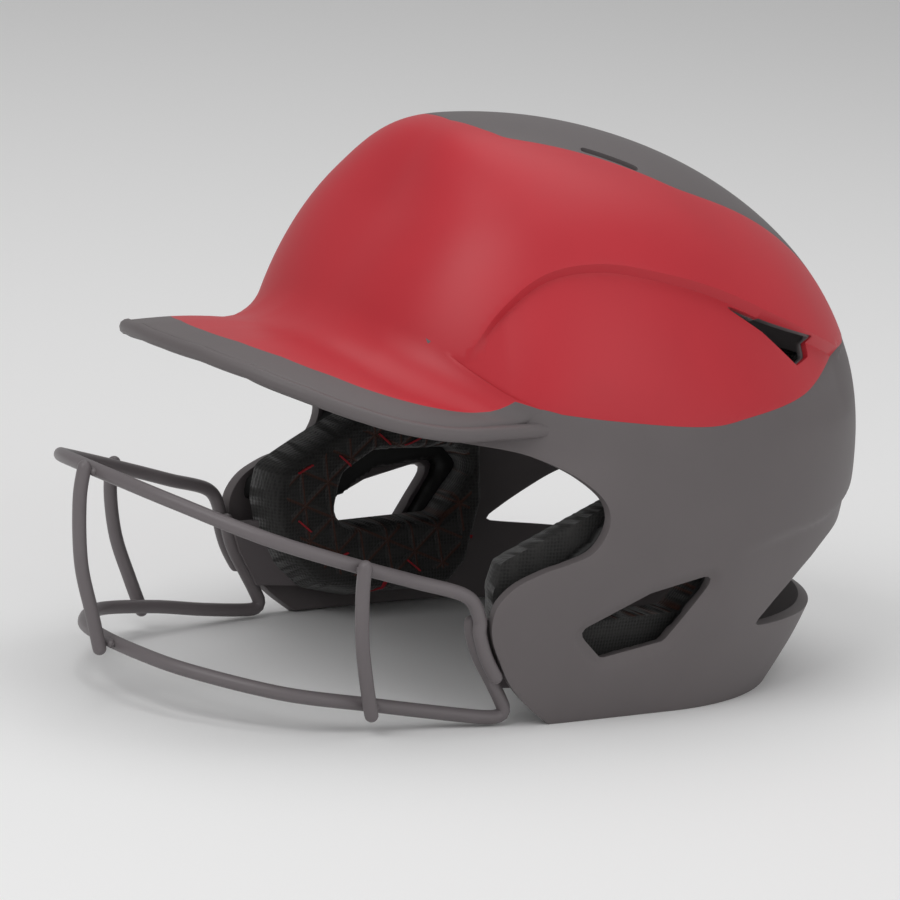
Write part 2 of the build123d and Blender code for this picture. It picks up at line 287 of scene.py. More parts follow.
def mouldedFinish(name, colour, rough, grain, grainDepth, mottle):
    material, tree, shader = nodeSet(name)
    where = tree.nodes.new("ShaderNodeTexCoord").outputs["Object"]
    cloud = tree.nodes.new("ShaderNodeTexNoise")
    cloud.inputs["Scale"].default_value, cloud.inputs["Detail"].default_value = 26, 4
    fine = tree.nodes.new("ShaderNodeTexNoise")
    fine.inputs["Scale"].default_value, fine.inputs["Detail"].default_value = grain, 2
    link(tree, where, cloud.inputs["Vector"])
    link(tree, where, fine.inputs["Vector"])
    shade = tree.nodes.new("ShaderNodeMixRGB")
    shade.inputs[1].default_value = (*[c * (1 - mottle) for c in colour], 1)
    shade.inputs[2].default_value = (*[min(c * (1 + mottle), 1) for c in colour], 1)
    link(tree, cloud.outputs["Fac"], shade.inputs[0])
    link(tree, shade.outputs[0], shader.inputs["Base Color"])
    spread = tree.nodes.new("ShaderNodeMapRange")
    spread.inputs["To Min"].default_value, spread.inputs["To Max"].default_value = rough - 0.06, rough + 0.08
    link(tree, cloud.outputs["Fac"], spread.inputs["Value"])
    link(tree, spread.outputs[0], shader.inputs["Roughness"])
    bump = tree.nodes.new("ShaderNodeBump")
    bump.inputs["Strength"].default_value, bump.inputs["Distance"].default_value = 0.6, grainDepth * mm
    link(tree, fine.outputs["Fac"], bump.inputs["Height"])
    link(tree, bump.outputs[0], shader.inputs["Normal"])
    shader.inputs["Specular IOR Level"].default_value = 0.4
    return material


greyShell = mouldedFinish("greyShellPlastic", **finishes["greyShell"])
redCover = mouldedFinish("redCoverPaint", **finishes["redCover"])
guardCoat = mouldedFinish("guardPowderCoat", **finishes["guardCoat"])
baseFoam = mouldedFinish("flapBaseFoam", **finishes["baseFoam"])

meshFabric = dict(colour=(0.012, 0.0115, 0.011), pitch=1.5, line=(0.16, 0.045, 0.02), cell=13.0, lineWidth=0.035)


def fabricFinish(name, withLines):
    material, tree, shader = nodeSet(name)
    where = tree.nodes.new("ShaderNodeTexCoord").outputs["Object"]
    pores = tree.nodes.new("ShaderNodeTexVoronoi")
    pores.inputs["Scale"].default_value = 1 / (meshFabric["pitch"] * mm)
    pores.inputs["Randomness"].default_value = 0.15
    link(tree, where, pores.inputs["Vector"])
    tone = tree.nodes.new("ShaderNodeValToRGB")
    tone.color_ramp.elements[0].color = (*[c * 0.35 for c in meshFabric["colour"]], 1)
    tone.color_ramp.elements[1].color = (*[c * 1.9 for c in meshFabric["colour"]], 1)
    tone.color_ramp.elements[0].position, tone.color_ramp.elements[1].position = 0.1, 0.55
    link(tree, pores.outputs["Distance"], tone.inputs[0])
    height = pores.outputs["Distance"]
    colour = tone.outputs[0]
    if withLines:  # a net of triangles printed and pressed across the pad, drawn in the side view
        split = tree.nodes.new("ShaderNodeSeparateXYZ")
        link(tree, where, split.inputs[0])
        rails = []
        for angle in (0.0, 60.0, 120.0):
            a = math.radians(angle + 8)
            parts = []
            for socket, factor in ((split.outputs["Y"], math.cos(a)), (split.outputs["Z"], math.sin(a))):
                part = tree.nodes.new("ShaderNodeMath")
                part.operation = "MULTIPLY"
                part.inputs[1].default_value = factor / (meshFabric["cell"] * mm)
                link(tree, socket, part.inputs[0])
                parts.append(part.outputs[0])
            total = tree.nodes.new("ShaderNodeMath")
            link(tree, parts[0], total.inputs[0])
            link(tree, parts[1], total.inputs[1])
            wave = tree.nodes.new("ShaderNodeMath")
            wave.operation = "PINGPONG"
            wave.inputs[1].default_value = 0.5
            link(tree, total.outputs[0], wave.inputs[0])
            rails.append(wave.outputs[0])
        low = tree.nodes.new("ShaderNodeMath")
        low.operation = "MINIMUM"
        link(tree, rails[0], low.inputs[0])
        link(tree, rails[1], low.inputs[1])
        lowest = tree.nodes.new("ShaderNodeMath")
        lowest.operation = "MINIMUM"
        link(tree, low.outputs[0], lowest.inputs[0])
        link(tree, rails[2], lowest.inputs[1])
        band = tree.nodes.new("ShaderNodeMapRange")
        band.inputs["From Min"].default_value = meshFabric["lineWidth"]
        band.inputs["From Max"].default_value = meshFabric["lineWidth"] * 1.6
        link(tree, lowest.outputs[0], band.inputs["Value"])
        paint = tree.nodes.new("ShaderNodeMixRGB")
        paint.inputs[1].default_value = (*[c * 0.35 for c in meshFabric["line"]], 1)
        link(tree, band.outputs[0], paint.inputs[0])
        link(tree, colour, paint.inputs[2])
        colour = paint.outputs[0]
        press = tree.nodes.new("ShaderNodeMapRange")
        press.inputs["From Max"].default_value, press.inputs["To Max"].default_value = 0.16, 3.0
        link(tree, lowest.outputs[0], press.inputs["Value"])
        added = tree.nodes.new("ShaderNodeMath")
        link(tree, press.outputs[0], added.inputs[0])
        link(tree, height, added.inputs[1])
        height = added.outputs[0]
    link(tree, colour, shader.inputs["Base Color"])
    shader.inputs["Roughness"].default_value = 0.85
    shader.inputs["Sheen Weight"].default_value = 0.25
    bump = tree.nodes.new("ShaderNodeBump")
    bump.inputs["Strength"].default_value, bump.inputs["Distance"].default_value = 0.8, 0.5 * mm
    link(tree, height, bump.inputs["Height"])
    link(tree, bump.outputs[0], shader.inputs["Normal"])
    return material


padMesh = fabricFinish("padMeshFabric", False)
padNet = fabricFinish("earPadNetFabric", True)
redThread = mouldedFinish("redThread", **finishes["redThread"])
print("finishes made")

# outlines
openings = dict(
    notch=[(-121, 114), (-101.5, 112.8), (-85.8, 111.2), (-74.4, 108), (-60.6, 101.5), (-49, 92), (-46.5, 82),
           (-52.5, 72), (-64.7, 67.4), (-73.3, 65.1), (-85, 60), (-92, 53), (-93.8, 46), (-92.6, 38),
           (-88.4, 29.4), (-81.6, 18.6), (-71.3, 8.5), (-58, -1)],
    ear=[(-53.5, 38.3), (-39.7, 26.1), (-9.8, 31.0), (12.1, 58.8), (-20.5, 52.2)], earRadius=3.5,
    port=[(150, 30), (95, 30), (70, 31), (46, 32), (40, 33.5), (46, 38.5), (58, 46.5), (73.4, 55.5), (95, 64),
          (150, 72)],
    vent=[(9.3, 168.8), (66, 148.8), (66.4, 141.8), (54.9, 139.4), (34, 155)], ventRadius=1.5,
    crownVent=[(43, -28), (54, -7), (50.5, -4), (39.5, -25)], crownRadius=2.0)
coverForm = dict(
    line=[(-107, 127), (-81.7, 127.6), (-47, 123.9), (-4.1, 120), (20.1, 122.4), (58.5, 128.1), (90, 139),
          (134, 152)],
    spine=[(0, -62), (22, -58), (34, -49), (54.6, -6), (60, 20), (53.2, 69.5), (44, 104), (40, 125)],
    brimReach=52.0, brimRise=15.0, sideRise=4.6, bandFront=16.0, bandSide=12.0)
crescent = dict(line=[(-98.1, 144.8), (-85.3, 164.2), (-67.9, 178.3), (-45.9, 182.7), (-20.5, 179.3), (8.7, 171.7),
                      (41.6, 158.9), (87, 141)], step=1.9, depth=5.0, fade=50.0,
                strength=[(-98, 0.1), (-86, 0.75), (-20, 0.75), (9, 0.85), (66, 1.0), (90, 0.8), (110, 0)])

notchRun = smoothRun(openings["notch"])
notchArea = np.vstack([notchRun, [(-58, -30), (-300, -30), (-300, 114)]])
earRun = roundedLoop(openings["ear"], openings["earRadius"])
portRun = smoothRun(openings["port"])
portArea = np.vstack([portRun, [(190, 72), (190, 30)]])
ventRun = roundedLoop(openings["vent"], openings["ventRadius"], 1.6)
crownRun = roundedLoop(openings["crownVent"], openings["crownRadius"], 1.6)
lineRun = smoothRun(coverForm["line"])
spineRun = smoothRun(coverForm["spine"])
crescentRun = smoothRun(crescent["line"])
crescentFoot = smoothRun([(y, z - crescent["step"]) for y, z in crescent["line"]])


def snapEnds(run):  # a run that ends near the middle plane ends on it
    run = run.copy()
    for i in (0, -1):
        if abs(run[i, 0]) < 0.03:
            run[i, 0] = 0.0
    return run


def sideRuns(run):
    return [snapEnds(r) for r in flatRuns(locate(run))]


def planRuns(run):
    return [snapEnds(r) for r in flatRuns(locate(run, (0, 1)))]


# the cover's foot over the forehead, where the brim's flare begins
footPhi = np.radians(np.linspace(0, coverForm["brimReach"], 45))
brimForm = dict(centreY=-104.0, halfWidth=97.0, reach=88.0, lowX=[0, 25, 48, 68, 83, 93, 98, 110],
                lowZ=[138.5, 138, 135, 129.5, 123.5, 118.8, 116, 112], rimHeight=6.0, rimWidth=4.4, crown=1.2)


def brimLow(x):
    return np.interp(np.abs(x), brimForm["lowX"], brimForm["lowZ"])


def rhoAtHeight(phi, height):
    rho = np.linspace(0.2, 0.8, 601)
    z = shellPoint(np.full(601, phi), rho)[:, 2]
    return float(np.interp(-height, -z, rho))


def brimEdge(t, inset, run=31.0):
    b = brimForm
    arc = math.radians(min(t / 0.84, 1) * 90)
    x, y = (b["halfWidth"] - inset) * math.sin(arc), b["centreY"] - (b["reach"] - inset) * math.cos(arc)
    return np.array([x, y + max(t - 0.84, 0) / 0.16 * run, 0])


rootRho, footRho = [], []
for i, phi in enumerate(footPhi):
    t = i / (len(footPhi) - 1)
    x = shellPoint(np.array([phi]), np.array([0.55]))[0, 0]
    top = brimLow(x) + brimForm["rimHeight"] - 0.6
    rootRho.append(rhoAtHeight(phi, top))
    frontRise = coverForm["brimRise"] * (1 - ease((t - 0.55) / 0.45))
    footRho.append(rhoAtHeight(phi, top + frontRise + 0.4 + coverForm["sideRise"] * ease((t - 0.6) / 0.4)))
rootRho, footRho = np.array(rootRho), np.array(footRho)
footFlat = np.stack([footRho * np.sin(footPhi), -footRho * np.cos(footPhi)], 1)
footFlat[0, 0] = 0.0
lineFlat = sideRuns(lineRun)[0]
sideLine = lineFlat[np.degrees(np.arctan2(lineFlat[:, 0], -lineFlat[:, 1])) > coverForm["brimReach"] + 3]
coverEdge = np.vstack([footFlat, evenly(np.vstack([footFlat[-1], sideLine[:1]]), 0.008)[1:-1], sideLine])
edgePhi = np.arctan2(coverEdge[:, 0], -coverEdge[:, 1])
edgeRho = np.hypot(coverEdge[:, 0], coverEdge[:, 1])
if edgePhi[-1] < np.pi:
    coverEdge = np.vstack([coverEdge, [(edgeRho[-1] * math.sin(a), -edgeRho[-1] * math.cos(a)) for a in
                                       np.linspace(edgePhi[-1], np.pi, 12)[1:]]])
    coverEdge[-1, 0] = 0.0
    edgePhi = np.arctan2(coverEdge[:, 0], -coverEdge[:, 1])
    edgeRho = np.hypot(coverEdge[:, 0], coverEdge[:, 1])
spineFlat = planRuns(spineRun)[0]
spinePhi = np.arctan2(spineFlat[:, 0], -spineFlat[:, 1])
pastLine = np.hypot(*spineFlat.T) > np.interp(spinePhi, edgePhi, edgeRho) + 0.003  # ends at the colour line
spineFlat = spineFlat[:int(np.argmax(pastLine))] if pastLine.any() else spineFlat
spineArea = np.vstack([spineRun, [(40, 200), (0, 200)]])


def inCover(flat):
    phi, rho = np.arctan2(flat[:, 0], -flat[:, 1]), np.hypot(flat[:, 0], flat[:, 1])
    place = flatToShell(flat)
    return (rho < np.interp(phi, edgePhi, edgeRho)) & ~inside(place[:, :2], spineArea)


def inOpening(flat):
    place = flatToShell(flat)
    phi, rho = np.arctan2(flat[:, 0], -flat[:, 1]), np.hypot(flat[:, 0], flat[:, 1])
    side, plan = place[:, 1:], place[:, :2]
    low = place[:, 2] < 120
    gone = inside(side, earRun) | inside(side, ventRun)
    gone |= low & (inside(side, notchArea) | inside(side, portArea))
    gone |= (rho > notchRho) & (phi < browPhi[-1])
    return gone | (inside(plan, crownRun) & (place[:, 2] > 190))


notchStart = sideRuns(notchRun)[0][0]
notchRho = math.hypot(*notchStart)
browPhi = np.linspace(0, math.atan2(notchStart[0], -notchStart[1]), 18)
browRun = np.stack([notchRho * np.sin(browPhi), -notchRho * np.cos(browPhi)], 1)
openRuns = [browRun, *sideRuns(notchRun), *sideRuns(earRun), *sideRuns(portRun), *sideRuns(ventRun),
            *planRuns(crownRun)]
creaseRuns = sideRuns(crescentRun) + sideRuns(crescentFoot)


pressed = dict(earDepth=1.8, earWidth=5.0, foldDepth=2.2, foldFrom=14,
               foldLine=[(20, 69), (49, 72.7), (85, 76), (130, 88)])


def relief(flat):  # how far the surface is pressed in, in millimetres
    place = flatToShell(flat)
    side = place[:, 1:]
    c, p = crescent, pressed
    below = np.interp(side[:, 0], crescentRun[:, 0], crescentRun[:, 1]) - side[:, 1]
    strength = np.interp(side[:, 0], *zip(*c["strength"]))
    dip = ease(below / c["step"]) * (1 - ease((below - c["step"]) / c["fade"]))
    dip = np.where(below > 0, dip, 0) * c["depth"] * strength
    dip = np.where(place[:, 2] < 200, dip * ease((side[:, 1] - 112) / 14), 0)
    bevel = np.where(~inside(side, earRun), 1 - ease(lineDistance(side, earRun) / p["earWidth"]), 1)
    dip += p["earDepth"] * bevel * (place[:, 2] < 90)
    fold = lineDistance(side, smoothRun(p["foldLine"], 6))
    under = side[:, 1] < np.interp(side[:, 0], *zip(*p["foldLine"]))
    crease = ease(fold / 4.0) * (1 - ease((fold - 20) / 40)) * ease((side[:, 0] - p["foldFrom"]) / 40)
    return dip + np.where(under & (side[:, 0] > p["foldFrom"]), crease, 0) * p["foldDepth"]


print("outlines placed")

# base shell
fine = gridStep["fine"]
shellRuns = openRuns + [coverEdge, spineFlat] + sideRuns(earRun)
flat, tris = flatMesh(shellRuns, fine, lambda m: ~inOpening(m) & ~inCover(m))
surface = flatToShell(flat) - shellNormal(flat) * relief(flat)[:, None]
greyOuter = finishShell(makeObject("base_shell_form", surface, tris, greyShell), shellForm["wall"],
                        shellForm["edgeRound"])
coverRuns = openRuns + creaseRuns + [coverEdge, spineFlat]
flat, tris = flatMesh(coverRuns, gridStep["coarse"], lambda m: ~inOpening(m) & inCover(m))
skin = shellForm["cover"] + shellForm["bond"]
surface = flatToShell(flat) - shellNormal(flat) * (relief(flat) + skin)[:, None]
underCover = finishShell(makeObject("under_cover", surface, tris, greyShell), shellForm["wall"] - skin, 0)
print("base shell meshed")



def gridFaces(count, across):  # quads between neighbouring rows of points
    starts = [i * across + j for i in range(count - 1) for j in range(across - 1)]
    return [[k, k + 1, k + across + 1, k + across] for k in starts]


# brim: a flare over the forehead, then out to the rolled edge
rows = []
for i, phi in enumerate(footPhi):
    t = i / (len(footPhi) - 1)
    start = shellPoint(np.array([phi]), footRho[i:i + 1])[0]
    root = shellPoint(np.array([phi]), rootRho[i:i + 1])[0]
    rim = brimEdge(t, brimForm["rimWidth"] - 0.2)
    rim[2] = brimLow(brimEdge(t, 0)[0]) + brimForm["rimHeight"] - 0.35
    out = rim - root
    length = np.linalg.norm(out)
    turn = root + out / max(length, 1e-6) * min(np.linalg.norm(start - root), length * 0.5)
    line = []
    for s in np.linspace(0, 1, 9):
        line.append((1 - s) ** 2 * start + 2 * s * (1 - s) * root + s * s * turn)
    for s in np.linspace(0, 1, 20)[1:]:
        p = turn + (rim - turn) * s
        p[2] += math.sin(s * math.pi) * brimForm["crown"] * min(length / 60, 1)
        line.append(p)
    dense = evenly(np.array(line), 0.4)
    whole = 0.4 * (len(dense) - 1)
    front, sideBand = coverForm["bandFront"], coverForm["bandSide"]
    most = whole * (0.8 + 0.17 * ease((t - 0.75) / 0.25))
    band = min(front + (sideBand - front) * ease((t - 0.3) / 0.6), most)
    stops = np.r_[np.linspace(0, 1 - band / whole, 15), np.linspace(1 - band / whole, 1, 7)[1:]]
    stops = stops * (len(dense) - 1)
    line = np.stack([np.interp(stops, np.arange(len(dense)), dense[:, k]) for k in range(3)], 1)
    rows.append(line)
rows = np.array(rows)
brimAcross = rows.shape[1]
brimPoints = rows.reshape(-1, 3)
brimFaces = gridFaces(*rows.shape[:2])

# crown cover, welded to the brim's top
flat, tris = flatMesh(coverRuns, fine, lambda m: ~inOpening(m) & inCover(m))
surface = flatToShell(flat) - shellNormal(flat) * relief(flat)[:, None]
n = len(surface)
bandMarks = [0] * len(tris) + [int(f % (brimAcross - 1) >= brimAcross - 7) for f in range(len(brimFaces))]
cover = makeObject("crown_cover_form", np.vstack([surface, brimPoints]),
                   list(tris) + [[i + n for i in f] for f in brimFaces], (redCover, greyShell), marks=bandMarks)
finishShell(cover, shellForm["cover"], shellForm["coverRound"])
print("crown cover meshed")

# the brim's underside and rolled edge
section = [(-0.2, 5.55), (-1.4, 6.0), (-2.9, 5.6), (-4.2, 4.6), (-4.6, 3.0), (-4.2, 1.2), (-3.0, 0.25),
           (-1.4, 0.0), (0.6, 0.5), (2.2, 1.6)]
rimRows = []
spread = 61
for i in range(spread):
    t = i / (spread - 1)
    here, ahead, back = [brimEdge(u, 0, 38.0) for u in (t, min(t + 0.01, 1), max(t - 0.01, 0))]
    along = (ahead - back) / np.linalg.norm(ahead - back)
    outward = np.array([along[1], -along[0], 0])
    low = brimLow(here[0])
    line = []
    for u, v in section:
        p = here - outward * (u + brimForm["rimWidth"])
        p[2] = low + v
        line.append(p)
    phi = np.radians(coverForm["brimReach"]) * t
    height = brimLow(shellPoint(np.array([phi]), np.array([0.55]))[0, 0]) + 1.2
    root = shellPoint(np.array([phi]), np.array([rhoAtHeight(phi, height)]), 2.0)[0]
    for s in (0.3, 0.65, 1.0):
        line.append(line[len(section) - 1] * (1 - s) + root * s)
    rimRows.append(line)
rimRows = np.array(rimRows)
rimFaces = [f[1:] + f[:1] for f in gridFaces(*rimRows.shape[:2])]
rolled = makeObject("brim_edge", rimRows.reshape(-1, 3), rimFaces, greyShell)
baseShell = mergeInto(*[applyAll(obj) for obj in (greyOuter, underCover, rolled)])
baseShell.name = "grey_shell"
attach(baseShell, "root")
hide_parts("base_shell")
applyAll(cover)
cover.name = "red_cover"
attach(cover, "root")
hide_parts("crown_cover")
print("brim made")

# stitch bars on the ear pads, laid by a node group
stitchForm = dict(pitch=0.55, width=1.7, thread=0.36, lift=0.1, length=7.5, seed=4,
                  bars=[(-27, 76, 120), (-12, 74, 60), (-47, 68, 120), (-68, 66, 60), (-68, 42, 120),
                        (-50, 28, 60), (-13, 22, 120), (-28, 14, 0), (22, 76, 60), (20, 30, 120)])


def stitchGroup(thread):  # threads stood across a path every pitch millimetres
    group = bpy.data.node_groups.new("stitch_bars", "GeometryNodeTree")
    face = group.interface
    face.new_socket("Geometry", in_out="INPUT", socket_type="NodeSocketGeometry")
    pitch = face.new_socket("Pitch", in_out="INPUT", socket_type="NodeSocketFloat")
    width = face.new_socket("Width", in_out="INPUT", socket_type="NodeSocketFloat")
    size = face.new_socket("Thread", in_out="INPUT", socket_type="NodeSocketFloat")
    seed = face.new_socket("Seed", in_out="INPUT", socket_type="NodeSocketInt")
    face.new_socket("Geometry", in_out="OUTPUT", socket_type="NodeSocketGeometry")
    add = lambda kind: group.nodes.new(kind)
    start, end = add("NodeGroupInput"), add("NodeGroupOutput")
    toCurve = add("GeometryNodeMeshToCurve")
    spread = add("GeometryNodeCurveToPoints")
    spread.mode = "LENGTH"
    bar, turnBar = add("GeometryNodeMeshCylinder"), add("GeometryNodeTransform")
    bar.inputs["Vertices"].default_value = 8
    turnBar.inputs["Rotation"].default_value = (0, math.pi / 2, 0)
    put, real = add("GeometryNodeInstanceOnPoints"), add("GeometryNodeRealizeInstances")
    paint = add("GeometryNodeSetMaterial")
    vary = add("FunctionNodeRandomValue")
    vary.inputs[2].default_value, vary.inputs[3].default_value = 0.88, 1.1
    paint.inputs["Material"].default_value = thread
    join = group.links.new
    join(start.outputs["Geometry"], toCurve.inputs[0])
    join(toCurve.outputs[0], spread.inputs["Curve"])
    join(start.outputs["Pitch"], spread.inputs["Length"])
    join(start.outputs["Width"], bar.inputs["Depth"])
    join(start.outputs["Thread"], bar.inputs["Radius"])
    join(bar.outputs["Mesh"], turnBar.inputs["Geometry"])
    join(spread.outputs["Points"], put.inputs["Points"])
    join(turnBar.outputs[0], put.inputs["Instance"])
    join(spread.outputs["Rotation"], put.inputs["Rotation"])
    join(start.outputs["Seed"], vary.inputs["Seed"])
    join(vary.outputs[1], put.inputs["Scale"])
    join(put.outputs[0], real.inputs[0])
    join(real.outputs[0], paint.inputs["Geometry"])
    join(paint.outputs[0], end.inputs[0])
    return group, dict(pitch=pitch.identifier, width=width.identifier, size=size.identifier, seed=seed.identifier)


stitches, sockets = stitchGroup(redThread)


def sewBars(cushion, side):  # the group runs on short paths laid on the pad's face, and the threads join the pad
    paths, edges = [], []
    cloth = cushion.data
    box = bvhtree.BVHTree.FromPolygons([v.co for v in cloth.vertices], [p.vertices[:] for p in cloth.polygons])
    for y, z, angle in stitchForm["bars"]:
        a = math.radians(angle + 8)
        for u in np.linspace(-0.5, 0.5, 9) * stitchForm["length"]:
            start = Vector((0, (y + u * math.sin(a) + shellY) * mm, (z + u * math.cos(a)) * mm))
            hit = box.ray_cast(start, Vector((side, 0, 0)))[0]
            if hit is None:
                continue
            if u > -0.49 * stitchForm["length"] and paths:
                edges.append((len(paths) - 1, len(paths)))
            paths.append(hit - Vector((side * stitchForm["lift"] * mm, 0, 0)))
    mesh = bpy.data.meshes.new("stitch_path")
    mesh.from_pydata(paths, edges, [])
    thread = bpy.data.objects.new("stitch_path", mesh)  # its faces bring their own thread material
    bpy.context.scene.collection.objects.link(thread)
    maker = thread.modifiers.new("stitches", "NODES")
    maker.node_group = stitches
    for key, size in (("pitch", "pitch"), ("width", "width"), ("size", "thread")):
        maker[sockets[key]] = stitchForm[size] * mm
    maker[sockets["seed"]] = stitchForm["seed"]
    sewn = bpy.data.meshes.new_from_object(thread.evaluated_get(bpy.context.evaluated_depsgraph_get()))
    thread.modifiers.clear()
    thread.data = sewn
    print("stitch threads", len(sewn.polygons))
    mergeInto(cushion, thread)


# liner: each pad is a pillow on the shell's inside, with its own outline
pads = dict(
    flapFoam=dict(outline=[(-86, 49), (-54, 47.5), (-53, 12), (24, 12), (34, 40), (30, 92), (-38, 93), (-50, 75),
                           (-66, 64), (-84, 58.5)],
                  window=[(-51, 38), (-39, 22), (-8, 27), (16.5, 60), (-20, 57)], near=5.0, thick=7.0, edge=3.0,
                  round=4.0),
    earPad=dict(outline=[(-90, 52), (-86, 36), (-76, 21), (-62, 10), (-40, 5), (8, 5), (20, 14), (30, 42),
                         (28, 95), (-22, 97), (-33, 90), (-60, 79), (-88, 67)],
                window=[(-50, 42), (-44, 37), (4, 38), (22, 58), (14, 66), (-30, 67), (-46, 58)], near=12.7,
                thick=15.5, edge=6.0, round=5.0),
    sidePad=dict(outline=[(-52, 106), (-46, 150), (-6, 150), (20, 138), (40, 130), (40, 98), (-30, 98)],
                 window=None, near=5.2, thick=14.0, edge=9.0, round=8.0),
    middle=dict(window=None, near=5.2, thick=14.0, edge=9.0, round=9.0),
    gusset=9.5, windowRound=4.0, step=0.0105)


def pillow(outline, window, near, thick, edge, round, axes, allowed):
    loops = [roundedLoop(outline, round)] + ([roundedLoop(window, pads["windowRound"])] if window else [])
    runs = [snapEnds(r) for loop in loops for r in flatRuns(locate(loop, axes, allowed, 5, 1.5))]

    def keep(m):
        place = flatToShell(m)
        ok = inside(place[:, axes], loops[0]) & allowed(place)
        return ok & ~inside(place[:, axes], loops[1]) if window else ok

    flat, tris = flatMesh(runs, pads["step"], keep)
    base, normal = flatToShell(flat), shellNormal(flat)
    place = base[:, axes]
    away = np.minimum.reduce([lineDistance(place, loop) for loop in loops])
    rise = thick * (1 - (1 - np.clip(away / edge, 0, 1)) ** 2.6) ** 0.5
    front, back = base - normal * (near + rise)[:, None], base - normal * near
    faces = [list(t[::-1]) for t in tris] + [[i + len(flat) for i in t] for t in tris]
    band = lineDistance(place, loops[0])[tris].max(1) < pads["gusset"]  # the gusset runs round the pad's side
    return np.vstack([front, back]), faces, np.r_[band, np.ones(len(tris), bool)]


anySide = lambda place: place[:, 0] > 10
frontHalf = lambda place: (place[:, 1] < -30) & (place[:, 0] > -1)
rearHalf = lambda place: (place[:, 1] > 30) & (place[:, 0] > -1)
topHalf = lambda place: (place[:, 2] > 170) & (place[:, 0] > -1)


def finishPad(obj, node):
    applyAll(obj)
    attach(obj, "root")
    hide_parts(node)


sidePads = (("flapFoam", "ear_base_foam", baseFoam, "base_foam"),
            ("earPad", "ear_comfort_pad", padNet, "pad_fabric"),
            ("sidePad", "side_pad", padMesh, "pad_fabric"))
for key, node, material, slotName in sidePads:
    points, faces, gusset = pillow(**pads[key], axes=(1, 2), allowed=anySide)
    sewn = material is padNet
    for side, word in ((1, "left"), (-1, "right")):
        order = faces if side > 0 else [f[::-1] for f in faces]
        cushion = makeObject(word + "_" + node + "_cushion", points * [side, 1, 1], order,
                             (padNet, padMesh) if sewn else material, False, gusset if sewn else None)
        if sewn:
            sewBars(cushion, side)
        finishPad(cushion, word + "_" + node)
middlePads = dict(
    forehead_pad=((0, 2), [(-60, 120.5), (60, 120.5), (60, 153), (-60, 153)], frontHalf),
    rear_pad=((0, 2), [(-58, 80), (58, 80), (58, 124), (-58, 124)], rearHalf),
    crown_pad=((0, 1), [(-31, -62), (-20, -79), (20, -79), (31, -62), (31, 10), (20, 27), (-20, 27), (-31, 10)],
               topHalf))
for node, (axes, outline, allowed) in middlePads.items():
    points, faces, _ = pillow(outline, **pads["middle"], axes=axes, allowed=allowed)
    finishPad(makeObject(node + "_cushion", points, faces, padMesh), node)
print("liner made")

# face guard: coated wire, domed at its cut ends, with a bead at each weld
guard = dict(wire=2.8, sides=20, nearX=95.26, farX=89.62, beadLength=3.4, beadRadius=1.7,
             leg=[(-97.2, 46), (-96.6, 40), (-92.6, 30), (-85.8, 19.5)],
             topRun=[(94.6, -104, 55.5), (90.3, -126, 62), (88.2, -149, 68.6), (75, -184, 79.0),
                     (42, -207.5, 88.0), (14, -215.4, 91.2)],
             lowBend=[(89.6, -80.6, 11.4), (89.6, -78.2, 6.6), (89.2, -80.2, 3.9)],
             lowRun=[(88.4, -88, 4.0), (84.2, -110, 7.0), (80.2, -136.5, 11.2), (69, -169, 15.5),
                     (40, -193.5, 19.3), (14, -201.8, 21)],
             centre=[(0, -222.0, 96), (0, -223.6, 80), (0, -221.2, 55), (0, -214.8, 34), (0, -209.6, 17)],
             side=[(93.2, -151.2, 73), (94.0, -152.2, 60), (92.2, -149.4, 40), (88.6, -143.5, 22),
                   (85.4, -137.4, 6)])


def tube(path, radius, sides, step=1.6):  # a round wire along a path, its ends domed
    line = smoothRun(path, step)
    head, tail = line[0] - line[1], line[-1] - line[-2]
    head, tail = head / np.linalg.norm(head), tail / np.linalg.norm(tail)
    ends = [(radius * math.sin(a), radius * math.cos(a)) for a in np.radians([18, 36, 54, 72, 87])]
    line = np.vstack([[line[0] + head * (u - radius) for u, _ in ends[::-1]], line[2:-2],
                      [line[-1] + tail * (u - radius) for u, _ in ends]])
    sizes = np.r_[[v for _, v in ends[::-1]], np.full(len(line) - 10, radius), [v for _, v in ends]]
    tangent = np.gradient(line, axis=0)
    tangent /= np.linalg.norm(tangent, axis=1)[:, None]
    frameUp = np.cross(tangent[0], [0.3, 0.5, 0.81])
    rings = []
    for p, t, r in zip(line, tangent, sizes):
        frameUp = frameUp - t * (frameUp @ t)
        frameUp /= np.linalg.norm(frameUp)
        other = np.cross(t, frameUp)
        a = np.linspace(0, 2 * np.pi, sides, endpoint=False)[:, None]
        rings.append(p + r * (np.cos(a) * frameUp + np.sin(a) * other))
    points = np.vstack(rings)
    faces = [[i * sides + j, i * sides + (j + 1) % sides, (i + 1) * sides + (j + 1) % sides, (i + 1) * sides + j]
             for i in range(len(line) - 1) for j in range(sides)]
    faces += [list(range(sides))[::-1], [len(points) - sides + j for j in range(sides)]]
    return points, faces


def bead(at, along, length, radius, seed):  # a weld bead: a lumpy capsule laid over the joint
    rng = np.random.default_rng(seed)
    along = np.array(along, float) / np.linalg.norm(along)
    path = [np.array(at) + along * u for u in np.linspace(-length, length, 5)]
    points, faces = tube(path, radius, 14, 0.7)
    middle = np.array(at)
    return middle + (points - middle) * (1 + 0.06 * rng.standard_normal(len(points)))[:, None], faces


def addParts(parts):
    points, faces, n = [], [], 0
    for p, f in parts:
        points.append(p)
        faces += [[i + n for i in g] for g in f]
        n += len(p)
    return np.vstack(points), faces


def mirroredPath(half):
    return [(-x, y, z) for x, y, z in half] + list(half[::-1])


